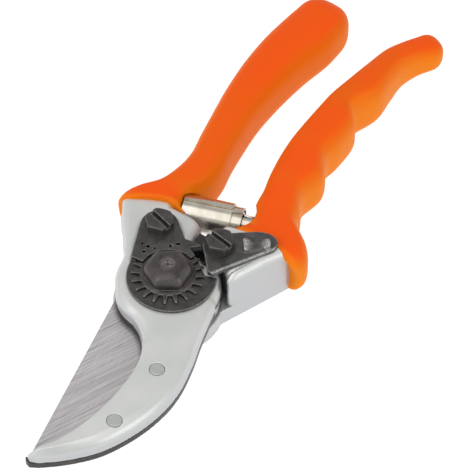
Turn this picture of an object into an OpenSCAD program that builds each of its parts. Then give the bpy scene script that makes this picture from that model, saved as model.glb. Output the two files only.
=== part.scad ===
// Bypass pruning shears, closed and locked.
// The origin lies on the pivot axis, at the flat back of the pivot bolt's head.
// The jaws point along -Y, the handles along +Y, and the nut side faces +Z.

/* [Pivot] */
// Radius of the round boss around the pivot
boss_r = 17; // [16.8:0.1:17.3]
// Thickness of the hook handle's boss and jaw
boss_t = 5.5; // [5:0.1:6]
// Radius of the pivot bolt's shank
shank_r = 4.5; // [4:0.1:5]
// Height of the pivot bolt's flat head
bolt_head_h = 2.2; // [1.8:0.1:2.6]
// Radius of the pivot bolt's flat head
bolt_head_r = 8.5; // [8:0.1:9.5]
// Number of teeth on the pivot nut
nut_teeth = 20; // [16:1:24]
// Radius of the pivot nut over its teeth
nut_tip_r = 12; // [11.5:0.1:12.2]
// Width of the pivot nut's hexagon across its flats
nut_af = 13; // [11:0.5:14]

/* [Blades] */
// Thickness of the cutting blade
blade_t = 3.45; // [3:0.05:3.6]
// Thickness of the counter-blade
counter_t = 2.5; // [2.3:0.1:3]
// Gap between the two blades where they slide
slide_gap = 0.05; // [0.03:0.01:0.1]
// Radius of the counter-blade's rivets
rivet_r = 2.4; // [2:0.1:2.6]

/* [Bodies] */
// Thickness of the blade handle's head plate
head_t = 6.1; // [5.5:0.1:6.4]
// Height of the underside of both bodies above the rest plane
body_z0 = 1; // [0.8:0.1:1.4]
// Height of the blade handle's tall block above the rest plane
block_top = 20.2; // [20:0.1:20.4]
// Gap between the turning head and the left body
swing_gap = 0.7; // [0.5:0.1:1]

/* [Locking parts] */
// Thickness of the lock plate's base layer
plate_t = 1.4; // [1.2:0.1:1.5]
// Height of the lock plate's toothed land above its base layer
land_t = 1.1; // [1:0.1:1.2]
// Thickness of the thumb catch
catch_t = 1.8; // [1.5:0.1:2]
// Width of the slotted screws' hexagon heads across their flats
screw_af = 8.6; // [8:0.1:9]
// Height of the slotted screws' heads
screw_head_h = 3.2; // [2.8:0.1:3.6]

/* [Grips] */
// Height of the grips' middle plane above the rest plane
grip_mid = 10.4; // [10.3:0.1:10.6]
// Number of sides of a grip's cross-section
grip_sides = 20; // [16:2:24]
// Squareness of a grip's cross-section
grip_power = 2.6; // [2.2:0.1:3]

/* [Spring] */
// Outer radius of the spring's widest sleeve
spring_r = 5.7; // [5:0.1:6]
// Height of the spring's axis above the rest plane
spring_z = 10.8; // [10:0.1:11.5]
// Direction of the spring's axis, turned from +X
spring_turn = 20; // [18:1:22]

/* [Hidden] */

// Colours
aluminium = [0.80, 0.81, 0.80];
dark_steel = [0.27, 0.26, 0.25];
bright_steel = [0.76, 0.74, 0.72];
nickel = [0.82, 0.78, 0.70];
orange = [0.96, 0.40, 0.10];
black_rubber = [0.08, 0.08, 0.08];

// Heights of the stack around the pivot, from the back to the front
head_z1 = body_z0 - 0.1 + head_t;
blade_z1 = head_z1 + blade_t;
counter_z0 = blade_z1 + slide_gap;
counter_z1 = counter_z0 + counter_t;
boss_z1 = counter_z1 + boss_t;
plate_z1 = boss_z1 + plate_t;
land_z1 = plate_z1 + land_t;
catch_z0 = block_top + 0.1;
catch_z1 = catch_z0 + catch_t;

// Clearances: between pieces of one body, and a running fit
fit = 0.02;
run = 0.05;
fn = 64;

// Radii around the pivot that keep the two sides apart while they turn
head_r = boss_r + 0.9;
body_in_r = head_r + swing_gap;
step_r = 17.4;
corner_step_r = 18.4;
notch_r = 13.4;
bush_r = 5.75;
neck_w = 7.6;
thread_r = 4;

// Turn of the pivot nut, in teeth
tooth_phase = 0.7;

// Places of the screws, rivets and catch
lock_screw_at = [-13.6, 14.2];
catch_screw_at = [7.8, 17.5];
rivets_at = [[18.5, -31.6], [19.2, -54.9]];
blade_screw_at = [9, 11.5];
screw_r = 2.4;
catch_thread_r = 1.5;

// Spring: a point on its axis, and the distances along it from there
spring_at = [-11.1, 30.9];
spring_start = -4.2;
sleeve_end = 12.2;
second_end = 15.6;
coil_end = 20.4;
peg_r = 2;
peg_start = -12;
peg_end = 24.4;

// ---- Curves ----

// Point at fraction t of the Catmull-Rom span from b to c
function span(a, b, c, d, t) =
    0.5 * (2 * b + (c - a) * t + (2 * a - 5 * b + 4 * c - d) * t * t
        + (3 * b - a - 3 * c + d) * t * t * t);

// Smooth open curve through the points of p, with n steps to each span
function curve(p, n = 4) = [
    for (i = [0 : len(p) - 2], k = [0 : n - 1])
        span(p[max(i - 1, 0)], p[i], p[i + 1], p[min(i + 2, len(p) - 1)], k / n),
    p[len(p) - 1]
];

// Points on an arc around the pivot
function arc(r, a0, a1, n = 12) = [
    for (i = [0 : n]) let (a = a0 + (a1 - a0) * i / n) [r * cos(a), r * sin(a)]
];

function signed_power(v, p) = sign(v) * pow(abs(v), p);

// ---- Outlines seen from the nut side ----

throat = [[-11.6, -12.9], [-8.5, -15.8], [-4.5, -17.9], [0, -19], [4, -21.2], [7.8, -24.8]];
hook_inner = [
    [7.8, -24.8], [10.8, -29.5], [12.7, -36], [13.4, -45], [13, -54.5], [11.3, -64],
    [8.6, -71.6], [5.4, -77.2]
];
hook_tip = [[3.4, -78.7], [4.8, -79.4]];
counter_tip = [[2.5, -78.4], [3.2, -79.3], [4.8, -79.8]];
hook_outer = [
    [7.4, -78.3], [14, -72.3], [20.6, -64], [25, -53.7], [27.3, -43], [27.3, -32.5],
    [24.8, -21.7], [21.8, -13], [19.6, -5.7], [17.9, 0.5]
];
spine = [[2.2, -75.8], [-12.4, -12]];
edge = [
    [13, -22], [15.2, -30], [16.4, -38], [16.5, -47], [15.2, -57], [12, -66.5], [8, -73], [4.2, -76.8]
];

edge_line = curve(edge, 2);

module hook_outline() {
    polygon(concat(
        arc(boss_r, 100, 228, 24), curve(throat), curve(hook_inner), hook_tip, curve(hook_outer),
        arc(boss_r, 8, 60, 12), arc(notch_r, 64, 96, 6)
    ));
}

module counter_outline() {
    inner = [for (p = hook_inner) p + [-0.8 * sin(180 * (p.y + 24.8) / -53.8), 0]];
    polygon(concat(
        arc(boss_r, 180, 228, 8), curve(throat), curve(inner), counter_tip, curve(hook_outer),
        arc(boss_r - 1, 8, 172, 20)
    ));
}

module left_body_outline() {
    outer = [[-15.8, -2.6], [-30.6, 18.5], [-33, 25]];
    polygon(concat(
        outer, [[-28, 31], [-18, 31], [-16, 25], [-6.3, 25]],
        curve([[-6.3, 25], [-4.2, 24], [-3.1, 21], [-2.2, 17.4]], 3), [[-1.4, 13]], [[-8, -4]]
    ));
}

module block_outline() {
    polygon([
        [1.7, 16], [2.5, 22.5], [2.7, 27.8], [8, 34], [24, 36], [26.6, 30], [26.2, 28.6],
        [15.7, 9.2], [9, 4]
    ]);
}

// Round space in the tall block for the hook handle's boss, wider where the block ends
module step_space() {
    circle(r = step_r, $fn = fn);
    intersection() {
        circle(r = corner_step_r, $fn = fn);
        polygon([[0, 0], [30, -10], [30, 25]]);
    }
}

// Everything on the jaw side of the left grip's mouth
module left_mouth() {
    polygon(concat(
        curve([[-40, 17], [-31, 18], [-25, 21.5], [-19.5, 24.2], [-15, 25], [-11.5, 25]], 3),
        [[-4, 25.2], [6, 25.2], [6, -20], [-40, -20]]
    ));
}

// Everything on the jaw side of the right grip's mouth
module right_mouth() {
    polygon(concat(
        curve([[38, 26], [30, 27.6], [25.4, 28.8], [19, 29.4], [12, 29], [5, 27.6], [-2, 27.5]], 3),
        [[-2, -20], [38, -20]]
    ));
}

// ---- Grips ----

// Ribs of the grips: outer edge, inner edge, half height
hook_ribs = [
    [-33, 14, -8, 17, 9.2], [-34.2, 20.5, -9.5, 24, 9.4], [-32.6, 26.5, -14.6, 28, 9.6],
    [-27.4, 32.8, -15, 33.5, 9.8], [-24.8, 39.7, -12.4, 41, 10], [-25, 47.2, -12.5, 48.4, 10.2],
    [-26.9, 55.5, -14.5, 56.4, 10.3], [-29.1, 64.7, -16.1, 65, 10.4], [-32.2, 77, -17.7, 77, 10.4],
    [-34.2, 90, -17.8, 90, 10.4], [-35, 103, -16.8, 103, 10.3], [-34.6, 114, -14.9, 114.5, 10.1],
    [-33.9, 122, -14.7, 121.5, 9.8]
];
blade_ribs = [
    [29, 20, 3, 22, 8.6], [29.4, 25.6, 4, 28.5, 9], [31.7, 31.5, 6.8, 34, 9.4],
    [28.6, 37.6, 6, 38, 9.7], [20.9, 43.2, 4.1, 42.7, 9.9], [18, 47.6, 2.9, 48.7, 10.1],
    [15.2, 55, 1.1, 54.7, 10.3], [16.2, 63.5, -0.9, 63, 10.4], [12.1, 71.5, -1.9, 71, 10.4],
    [13.1, 79, -2.3, 78, 10.4], [12.2, 88.5, -2.4, 88, 10.4], [8.7, 94, -2, 95, 10.3],
    [12, 104.5, -1.2, 104, 9.9], [11.4, 113, 0, 114, 9], [11, 120.8, 1.2, 123, 7.9],
    [13, 127.3, 3.6, 130, 6.8], [15.6, 132.2, 6.7, 136.6, 5.9]
];
hook_cap = 10.5;
blade_cap = 5.6;

// One ring of a grip: the rib's width, rounded in height, moved on and shrunk towards the end
function ring(rib, away, shrink) =
    let (
        mid = [rib[0] + rib[2], rib[1] + rib[3]] / 2,
        half = [rib[0] - rib[2], rib[1] - rib[3]] / 2,
        side = sign(half.x),
        ahead = away * side * [-half.y, half.x] / norm(half)
    )
    [for (k = [0 : grip_sides - 1])
        let (
            a = side * 360 * k / grip_sides,
            across = signed_power(cos(a), 2 / grip_power) * shrink,
            up = signed_power(sin(a), 2 / grip_power) * shrink
        )
        [
            mid.x + half.x * across + ahead.x,
            mid.y + half.y * across + ahead.y,
            grip_mid + rib[4] * up
        ]];

// Closed skin through the ribs, with a rounded end of the given length
module grip_skin(ribs, cap) {
    smooth = curve(ribs, 2);
    last = ribs[len(ribs) - 1];
    cap_turns = [15 : 15 : 75];
    rings = concat(
        [for (rib = smooth) ring(rib, 0, 1)],
        [for (t = cap_turns) ring(last, cap * sin(t), pow(cos(t), 0.8))]
    );
    n = len(rings);
    points = [for (r = rings) each r];
    sides = [
        for (i = [0 : n - 2], k = [0 : grip_sides - 1])
            let (a = i * grip_sides + k, b = i * grip_sides + (k + 1) % grip_sides)
            each [[a, b, a + grip_sides], [b, b + grip_sides, a + grip_sides]]
    ];
    start = [[for (k = [grip_sides - 1 : -1 : 0]) k]];
    end = [[for (k = [0 : grip_sides - 1]) (n - 1) * grip_sides + k]];
    polyhedron(points, concat(start, sides, end));
}

// Straight-sided bars of the forgings inside the grips
module hook_core() {
    translate([0, 0, 4.5])
        linear_extrude(12)
            polygon([
                [-29, 14], [-16, 14], [-18.3, 31], [-17.5, 50], [-21.5, 74], [-22, 112], [-29, 112],
                [-27, 74], [-22.5, 50], [-26.5, 31]
            ]);
}

module blade_core() {
    translate([0, 0, 4.5])
        linear_extrude(12)
            polygon([
                [9, 20], [22, 20], [23, 35], [13.5, 47], [9.5, 70], [8, 94], [8.5, 122], [3.5, 122],
                [2, 94], [3, 70], [7, 47], [10.5, 35]
            ]);
}

// ---- Helpers for round pieces ----

module rod(r, z0, z1, at = [0, 0]) {
    translate([at.x, at.y, z0])
        cylinder(r = r, h = z1 - z0, $fn = fn);
}

module disc(r, z0, z1) {
    rod(r, z0, z1);
}

// A hexagon with chamfered corners
module hexagon(af, z0, z1, at = [0, 0], turn = 0) {
    chamfer = 0.6;
    corner_r = af / sqrt(3);
    intersection() {
        translate([at.x, at.y, z0])
            rotate([0, 0, turn])
                cylinder(r = corner_r, h = z1 - z0, $fn = 6);
        translate([at.x, at.y, z0])
            rotate_extrude($fn = fn)
                polygon([
                    [0, 0], [corner_r + 1, 0], [corner_r + 1, z1 - z0 - chamfer - 0.7],
                    [corner_r - 1.4 * chamfer, z1 - z0], [0, z1 - z0]
                ]);
    }
}

// A screw with a slotted hexagon head from z2 up, a shoulder from z1 and a threaded end from z0
module slotted_screw(at, z0, z1, z2, end_r, slot_turn) {
    slot_w = 1.4;
    slot_d = 1.5;
    difference() {
        union() {
            hexagon(screw_af, z2, z2 + screw_head_h, at, slot_turn + 30);
            rod(screw_r, z1, z2, at);
            rod(end_r, z0, z1, at);
        }
        translate([at.x, at.y, z2 + screw_head_h - slot_d])
            rotate([0, 0, slot_turn])
                translate([-screw_af, -slot_w / 2, 0])
                    cube([2 * screw_af, slot_w, slot_d + 1]);
    }
}

// Places a shape on the spring's axis, with its own Z along the axis
module on_spring_axis() {
    translate([spring_at.x, spring_at.y, spring_z])
        rotate([0, 0, spring_turn])
            rotate([0, 90, 0])
                children();
}

// Clear space around the spring, from one peg's seat to the other's
module spring_space() {
    on_spring_axis()
        translate([0, 0, spring_start - 0.3])
            cylinder(r = spring_r + 0.8, h = coil_end - spring_start + 0.6, $fn = fn);
}

// Holes for both pegs, in one line
module peg_space() {
    on_spring_axis()
        translate([0, 0, peg_start - fit])
            cylinder(r = peg_r + fit, h = peg_end - peg_start + 2 * fit, $fn = fn);
}

// ---- Hook side ----

module hook_handle() {
    color(aluminium)
        difference() {
            union() {
                translate([0, 0, counter_z1])
                    linear_extrude(boss_t)
                        hook_outline();
                difference() {
                    translate([0, 0, body_z0])
                        linear_extrude(boss_z1 - body_z0)
                            intersection() {
                                left_body_outline();
                                left_mouth();
                            }
                    disc(body_in_r, 0, counter_z1);
                }
                difference() {
                    hook_core();
                    disc(body_in_r, 0, counter_z1);
                }
            }
            translate([-neck_w / 2, -neck_w / 2, 0])
                cube([neck_w, neck_w, 30]);
            for (at = rivets_at)
                rod(rivet_r + fit, 0, 30, at);
            rod(screw_r + fit, counter_z1 + 0.2, 30, lock_screw_at);
            spring_space();
            peg_space();
        }
}

module hook_grip() {
    color(orange)
        difference() {
            grip_skin(hook_ribs, hook_cap);
            translate([0, 0, -1])
                linear_extrude(30)
                    left_mouth();
            hook_core();
            spring_space();
            peg_space();
        }
}

module counter_blade() {
    color(dark_steel)
        difference() {
            translate([0, 0, counter_z0])
                linear_extrude(counter_t)
                    counter_outline();
            translate([-neck_w / 2, -neck_w / 2, 0])
                cube([neck_w, neck_w, 30]);
            for (at = rivets_at)
                rod(rivet_r + fit, 0, 30, at);
        }
}

module counter_blade_rivets() {
    color(bright_steel)
        for (at = rivets_at)
            rod(rivet_r, counter_z0, boss_z1 + 0.1, at);
}

module pivot_bolt() {
    dome_h = 0.7;
    bolt_end = land_z1 + 4.8;
    color(dark_steel)
        difference() {
            union() {
                disc(bolt_head_r, 0, bolt_head_h);
                disc(shank_r, bolt_head_h, counter_z0);
                translate([-neck_w / 2 + fit, -neck_w / 2 + fit, counter_z0])
                    cube([neck_w - 2 * fit, neck_w - 2 * fit, boss_z1 - counter_z0]);
                rotate_extrude($fn = fn)
                    polygon([
                        [0, boss_z1 - 1], [neck_w / 2 - fit, boss_z1 - 1], [neck_w / 2 - fit, boss_z1],
                        [thread_r, boss_z1], [thread_r, bolt_end - dome_h],
                        [thread_r - 1, bolt_end], [0, bolt_end]
                    ]);
            }
            translate([0, 0, bolt_end + 1.2])
                sphere(r = 2, $fn = 32);
        }
}

module pivot_nut() {
    root_r = nut_tip_r - 1.6;
    collar_r = 8.3;
    gear_z0 = plate_z1 + 0.05;
    gear_z1 = land_z1 + 0.1;
    tooth_w = 1.9;
    tooth = [
        [root_r, -tooth_w / 2], [nut_tip_r, -tooth_w / 4], [nut_tip_r, tooth_w / 4], [root_r, tooth_w / 2]
    ];
    color(dark_steel)
        difference() {
            union() {
                translate([0, 0, gear_z0])
                    linear_extrude(gear_z1 - gear_z0)
                        polygon([
                            for (i = [0 : nut_teeth - 1])
                                let (a = (i + tooth_phase) * 360 / nut_teeth)
                                each [
                                    for (p = tooth)
                                        [p.x * cos(a) - p.y * sin(a), p.x * sin(a) + p.y * cos(a)]
                                ]
                        ]);
                disc(collar_r, gear_z1, gear_z1 + 0.7);
                hexagon(nut_af, gear_z1 + 0.7, land_z1 + 4, turn = 18);
            }
            disc(thread_r + fit, 0, 40);
        }
}

module pivot_washer() {
    color(bright_steel)
        difference() {
            disc(9, boss_z1, plate_z1 + 0.05);
            disc(thread_r + 0.1, 0, 40);
        }
}

// Teardrop plate: a disc drawn out to its screw, stepped where the catch engages
module plate_outline() {
    lobe_at = [1, 0.5];
    lobe_r = 14.5;
    ear_r = 6.3;
    difference() {
        union() {
            translate(lobe_at)
                circle(r = lobe_r, $fn = fn);
            translate(lock_screw_at)
                circle(r = ear_r, $fn = fn);
            polygon([
                [-19.2, 11.2], [-13, -3], [-8, -10], [9, 5], [5.6, 9], [0.5, 11.4], [-10, 19.4], [-16, 18]
            ]);
        }
        // The step in front of the catch's nose
        polygon([[0, 12.2], [5, 9.8], [9.6, 6.6], [13.4, 8], [20, 12], [8, 20]]);
    }
}

module lock_plate() {
    tooth_ring_r = nut_tip_r + 0.15;
    tooth_in_r = nut_tip_r - 1.1;
    color(dark_steel)
        difference() {
            union() {
                translate([0, 0, boss_z1])
                    linear_extrude(plate_t)
                        plate_outline();
                translate([0, 0, plate_z1])
                    linear_extrude(land_t)
                        difference() {
                            intersection() {
                                plate_outline();
                                polygon([[-30, -10], [-9, -10], [3, 9], [3, 30], [-30, 30]]);
                            }
                            circle(r = tooth_ring_r, $fn = fn);
                        }
                // Inner teeth that sit in the nut's gaps
                for (i = [6 : 11])
                    rotate([0, 0, (i + tooth_phase - 0.5) * 360 / nut_teeth])
                        translate([tooth_in_r, -0.4, plate_z1])
                            cube([tooth_ring_r - tooth_in_r + 0.3, 0.8, land_t]);
            }
            disc(9.1, 0, plate_z1 + 0.01);
            rod(screw_r + fit, 0, 40, lock_screw_at);
        }
}

module lock_plate_screw() {
    color(dark_steel)
        slotted_screw(lock_screw_at, counter_z1 + 0.5, boss_z1, land_z1, screw_r, -14);
}

// Pad on the left body's edge; its upper half reaches into the boss's notch
module rubber_bumper() {
    groove_r = 0.4;
    bottom = body_z0 + 5;
    top = boss_z1 - 1.2;
    color(black_rubber)
        difference() {
            translate([0, 0, bottom])
                linear_extrude(top - bottom)
                    polygon([
                        [-1.3, 13.9], [1, 13.9], [1.3, 16], [1.5, 18.3], [1.6, 20.4], [0.6, 21.4],
                        [-2.9, 21.4], [-2.1, 17.4]
                    ]);
            for (z = [bottom + 2 : 2 : top - 1])
                translate([1.6, 12, z])
                    rotate([-90, 0, 0])
                        cylinder(r = groove_r, h = 12, $fn = 24);
            disc(body_in_r + fit, 0, counter_z1 + fit);
        }
}

// Double volute spring: telescoping sleeves and an inner coil at each end
module main_spring() {
    wall = 0.9;
    color(nickel)
        on_spring_axis()
            difference() {
                union() {
                    translate([0, 0, spring_start])
                        cylinder(r = spring_r, h = sleeve_end - spring_start, $fn = fn);
                    translate([0, 0, sleeve_end])
                        cylinder(r = spring_r - wall, h = second_end - sleeve_end, $fn = fn);
                    translate([0, 0, second_end])
                        cylinder(r = spring_r - 2 * wall, h = coil_end - second_end, $fn = fn);
                }
                translate([0, 0, spring_start - 1])
                    cylinder(r = spring_r - 3 * wall, h = coil_end - spring_start + 2, $fn = fn);
            }
}

module hook_spring_peg() {
    color(bright_steel)
        on_spring_axis()
            translate([0, 0, peg_start])
                cylinder(r = peg_r, h = spring_start + 4 - peg_start, $fn = fn);
}

// ---- Blade side ----

module blade_handle() {
    color(aluminium)
        difference() {
            union() {
                disc(head_r, body_z0 - 0.1, head_z1);
                translate([0, 0, body_z0])
                    linear_extrude(head_z1 - body_z0)
                        polygon([[0, 0], [17.8, 1.5], [17.4, 5], [26.2, 27.8], [20, 24]]);
                difference() {
                    translate([0, 0, body_z0])
                        linear_extrude(block_top - body_z0)
                            intersection() {
                                block_outline();
                                right_mouth();
                            }
                    translate([0, 0, head_z1])
                        linear_extrude(40)
                            step_space();
                }
                blade_core();
            }
            disc(bush_r + fit, 0, 40);
            disc(bolt_head_r + 0.3, 0, bolt_head_h + run);
            rod(screw_r + fit, 0, head_z1 + 1, blade_screw_at);
            translate([blade_screw_at.x, blade_screw_at.y, 0])
                rotate_extrude($fn = fn)
                    polygon([[0, 0], [4.4, 0], [4.4, body_z0], [2.4, 3], [0, 3]]);
            rod(catch_thread_r + fit, block_top - 8.2, 40, catch_screw_at);
            spring_space();
            peg_space();
        }
}

module blade_grip() {
    color(orange)
        difference() {
            grip_skin(blade_ribs, blade_cap);
            translate([0, 0, -1])
                linear_extrude(30)
                    right_mouth();
            blade_core();
            spring_space();
            peg_space();
        }
}

// Waste under the ground edge: one wedge along each straight stretch of the edge
module bevel_waste() {
    bevel_w = 4.5;
    land = 0.4;
    past = 0.5;
    drop = blade_t - land;
    for (i = [0 : len(edge_line) - 2])
        let (p = edge_line[i], d = edge_line[i + 1] - p)
        translate([p.x, p.y, blade_z1 - land])
            rotate([0, 0, atan2(d.y, d.x)])
                translate([-past, 0, 0])
                    rotate([90, 0, 90])
                        linear_extrude(norm(d) + 2 * past + (i == len(edge_line) - 2 ? 5 : 0))
                            polygon([
                                [bevel_w / 4, drop / 4], [-bevel_w * 1.2, -drop * 1.2],
                                [bevel_w / 4, -drop * 1.2]
                            ]);
}

module cutting_blade() {
    color(bright_steel)
        difference() {
            translate([0, 0, head_z1])
                linear_extrude(blade_t)
                    polygon(concat(
                        spine, arc(boss_r - 0.3, 222, 92, 26), arc(step_r - run, 84, 36, 10),
                        arc(boss_r - 0.3, 32, -50, 16), [[13, -16]], edge_line
                    ));
            bevel_waste();
            disc(bush_r + fit, 0, 40);
            rod(screw_r + fit, 0, 40, blade_screw_at);
        }
}

module pivot_bush() {
    color(bright_steel)
        difference() {
            disc(bush_r, bolt_head_h + run, blade_z1 - 0.02);
            disc(shank_r + run, 0, 40);
        }
}

module blade_screw() {
    color(dark_steel)
        difference() {
            union() {
                rod(screw_r, 2, blade_z1 - 0.3, blade_screw_at);
                translate([blade_screw_at.x, blade_screw_at.y, 0])
                    rotate_extrude($fn = fn)
                        polygon([[0, body_z0], [4.3, body_z0], [2.35, 2.9], [0, 2.9]]);
            }
            translate([blade_screw_at.x - 5, blade_screw_at.y - 0.6, 0])
                cube([10, 1.2, body_z0 + 1]);
        }
}

module catch_screw() {
    color(dark_steel)
        slotted_screw(
            catch_screw_at, block_top - 8, block_top, catch_z1 + 0.4, catch_thread_r, -8
        );
}

module catch_washer() {
    color(dark_steel)
        difference() {
            rod(5, catch_z1 + 0.05, catch_z1 + 0.35, catch_screw_at);
            rod(screw_r + run, 0, 40, catch_screw_at);
        }
}

module blade_spring_peg() {
    color(bright_steel)
        on_spring_axis()
            translate([0, 0, coil_end - 1.2])
                cylinder(r = peg_r, h = peg_end - coil_end + 1.2, $fn = fn);
}

// ---- Thumb catch ----

module thumb_catch() {
    pad_h = 1.4;
    color(dark_steel)
        difference() {
            union() {
                translate([0, 0, catch_z0])
                    linear_extrude(catch_t) {
                        polygon(concat(
                            [[10.6, 6.8], [12.2, 6.9], [22.8, 26.3]],
                            curve([[22.8, 26.3], [22.6, 28.7], [20.6, 30.4], [17.5, 30.6], [14, 29]], 3),
                            [[5.4, 22], [3.2, 14.6]]
                        ));
                        translate(catch_screw_at)
                            circle(r = 5.2, $fn = fn);
                    }
                translate([0, 0, catch_z1])
                    linear_extrude(pad_h)
                        polygon([[13.2, 24.4], [15.4, 20.6], [21.6, 26.4], [18.6, 28.8], [16, 28]]);
            }
            rod(screw_r + run, 0, 40, catch_screw_at);
        }
}

hook_handle();
hook_grip();
counter_blade();
counter_blade_rivets();
pivot_bolt();
pivot_nut();
pivot_washer();
lock_plate();
lock_plate_screw();
rubber_bumper();
main_spring();
hook_spring_peg();
blade_handle();
blade_grip();
cutting_blade();
pivot_bush();
blade_screw();
catch_screw();
catch_washer();
blade_spring_peg();
thumb_catch();
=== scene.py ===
"""Looks of the bypass pruning shears: forgings, grips, blades and small parts in the CAD frame.

Lengths below are in millimetres until a mesh is made, where they become metres.
"""
import math

import bpy
import numpy as np
from mathutils import Matrix, Vector


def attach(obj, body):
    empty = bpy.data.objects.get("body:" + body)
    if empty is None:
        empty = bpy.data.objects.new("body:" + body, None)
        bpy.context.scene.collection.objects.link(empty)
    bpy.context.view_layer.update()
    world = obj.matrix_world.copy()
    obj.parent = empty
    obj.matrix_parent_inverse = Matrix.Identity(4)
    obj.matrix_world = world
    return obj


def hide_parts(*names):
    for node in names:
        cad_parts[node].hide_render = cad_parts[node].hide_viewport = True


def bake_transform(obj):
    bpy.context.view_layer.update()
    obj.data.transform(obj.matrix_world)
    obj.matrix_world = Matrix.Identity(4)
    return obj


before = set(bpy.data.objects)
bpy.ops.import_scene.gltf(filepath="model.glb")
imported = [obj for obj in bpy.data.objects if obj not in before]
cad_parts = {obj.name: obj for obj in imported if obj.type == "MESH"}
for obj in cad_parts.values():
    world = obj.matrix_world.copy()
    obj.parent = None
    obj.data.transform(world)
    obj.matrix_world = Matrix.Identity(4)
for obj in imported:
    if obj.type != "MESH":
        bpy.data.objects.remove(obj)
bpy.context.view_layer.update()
MM = 0.001

# ---------------------------------------------------------------- curves and outlines


def curve(points, steps=14):
    """Smooth open curve through the points (Catmull-Rom), with so many steps to each span."""
    p = np.array(points, float)
    out = []
    for i in range(len(p) - 1):
        a, b, c, d = p[max(i - 1, 0)], p[i], p[i + 1], p[min(i + 2, len(p) - 1)]
        for t in np.arange(steps) / steps:
            out.append(
                0.5 * (2 * b + (c - a) * t + (2 * a - 5 * b + 4 * c - d) * t * t
                       + (3 * b - a - 3 * c + d) * t ** 3)
            )
    out.append(p[-1])
    return np.array(out)


def arc(r, a0, a1, steps=40):
    """Points round the pivot at radius r, from angle a0 to a1 in degrees."""
    a = np.radians(np.linspace(a0, a1, steps + 1))
    return np.stack([r * np.cos(a), r * np.sin(a)], 1)


def joined(*parts):
    return np.concatenate([np.array(p, float).reshape(-1, 2) for p in parts])


BOSS_R = 17.0
# Heights: the forgings' back, the blade side's head, the jaw's underside and its top
BACK_Z, HEAD_Z, JAW_Z, TOP_Z = 1.0, 7.0, 13.0, 18.5
# Bottom and top of the bars inside the grips, and of the catch's lever
CORE_Z, CATCH_Z = (4.5, 16.5), (20.3, 22.1)
THROAT = [(-11.6, -12.9), (-8.5, -15.8), (-4.5, -17.9), (0, -19), (4, -21.2), (7.8, -24.8)]
HOOK_INNER = [(7.8, -24.8), (10.8, -29.5), (12.7, -36), (13.4, -45), (13, -54.5), (11.3, -64),
              (8.6, -71.6), (5.4, -77.2)]
HOOK_TIP = [(3.4, -78.7), (4.8, -79.4)]
HOOK_OUTER = [(7.4, -78.3), (14, -72.3), (20.6, -64), (25, -53.7), (27.3, -43), (27.3, -32.5),
              (24.8, -21.7), (21.8, -13), (19.6, -5.7), (17.9, 0.5)]
RIVETS = [(18.5, -31.6), (19.2, -54.9)]
LOCK_SCREW = (-13.6, 14.2)
CATCH_SCREW = (7.8, 17.5)

hook_outline = joined(
    arc(BOSS_R, 100, 228), curve(THROAT), curve(HOOK_INNER), HOOK_TIP, curve(HOOK_OUTER),
    arc(BOSS_R, 8, 60), arc(13.4, 64, 96, 8),
)
left_body_outline = joined(
    [(-15.8, -2.6), (-30.6, 18.5), (-33, 25), (-28, 31), (-18, 31), (-16, 25), (-6.3, 25)],
    curve([(-6.3, 25), (-4.2, 24), (-3.1, 21), (-2.2, 17.4)], 8), [(-1.4, 13), (-8, -4)],
)
block_outline = joined(
    [(1.7, 16), (2.5, 22.5), (2.7, 27.8), (8, 34), (24, 36), (26.6, 30), (26.2, 28.6),
     (15.7, 9.2), (9, 4)]
)
left_mouth = joined(
    curve([(-40, 17), (-31, 18), (-25, 21.5), (-19.5, 24.2), (-15, 25), (-11.5, 25)], 8),
    [(-4, 25.2), (6, 25.2), (6, -20), (-40, -20)],
)
right_mouth = joined(
    curve([(38, 26), (30, 27.6), (25.4, 28.8), (19, 29.4), (12, 29), (5, 27.6), (-2, 27.5)], 8),
    [(-2, -20), (38, -20)],
)
hook_core = joined([(-29, 14), (-16, 14), (-18.3, 31), (-17.5, 50), (-21.5, 74), (-22, 112),
                    (-29, 112), (-27, 74), (-22.5, 50), (-26.5, 31)])
blade_core = joined([(9, 20), (22, 20), (23, 35), (13.5, 47), (9.5, 70), (8, 94), (8.5, 122),
                     (3.5, 122), (2, 94), (3, 70), (7, 47), (10.5, 35)])

# Ribs of the grips: outer edge, inner edge, half height
GRIP_MID = 10.4
HOOK_RIBS = [
    (-32.4, 14, -8, 17, 9.2), (-33.8, 20.5, -9.5, 24, 9.4), (-31.6, 25.5, -14.6, 28, 9.6),
    (-27.0, 31.5, -15, 33.5, 9.8), (-25.4, 39.4, -12.4, 41, 10), (-25.4, 47.2, -12.5, 48.4, 10.2),
    (-27.4, 55.5, -14.5, 56.4, 10.3), (-29.5, 64.7, -16.1, 65, 10.4), (-32.2, 77, -17.7, 77, 10.4),
    (-34.2, 90, -17.8, 90, 10.4), (-35, 103, -16.8, 103, 10.3), (-34.6, 114, -14.9, 114.5, 10.1),
    (-33.9, 122, -14.7, 121.5, 9.8),
]
BLADE_RIBS = [
    (29, 20, 3, 22, 9.5), (29.6, 25.6, 4, 28.5, 9.6), (31.7, 31.5, 6.8, 34, 9.7),
    (28.2, 37.4, 6, 38, 9.7), (20.8, 42.8, 4.1, 42.7, 9.9), (18.5, 47.6, 2.9, 48.7, 10.1),
    (15.2, 54.6, 1.1, 54.7, 10.3), (16.4, 64.2, -0.9, 63, 10.4), (12.5, 72.1, -1.9, 71, 10.4),
    (13.0, 79, -2.3, 78, 10.4), (12.4, 88.9, -2.4, 88, 10.4), (8.7, 94, -2, 95, 10.3),
    (12, 104.5, -1.2, 104, 9.9), (11.4, 113, 0, 114, 9), (11, 120.8, 1.2, 123, 7.9),
    (13.1, 127.3, 3.6, 130, 6.8), (16.4, 132.0, 6.7, 136.6, 5.9),
]

# ---------------------------------------------------------------- distance fields


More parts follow.
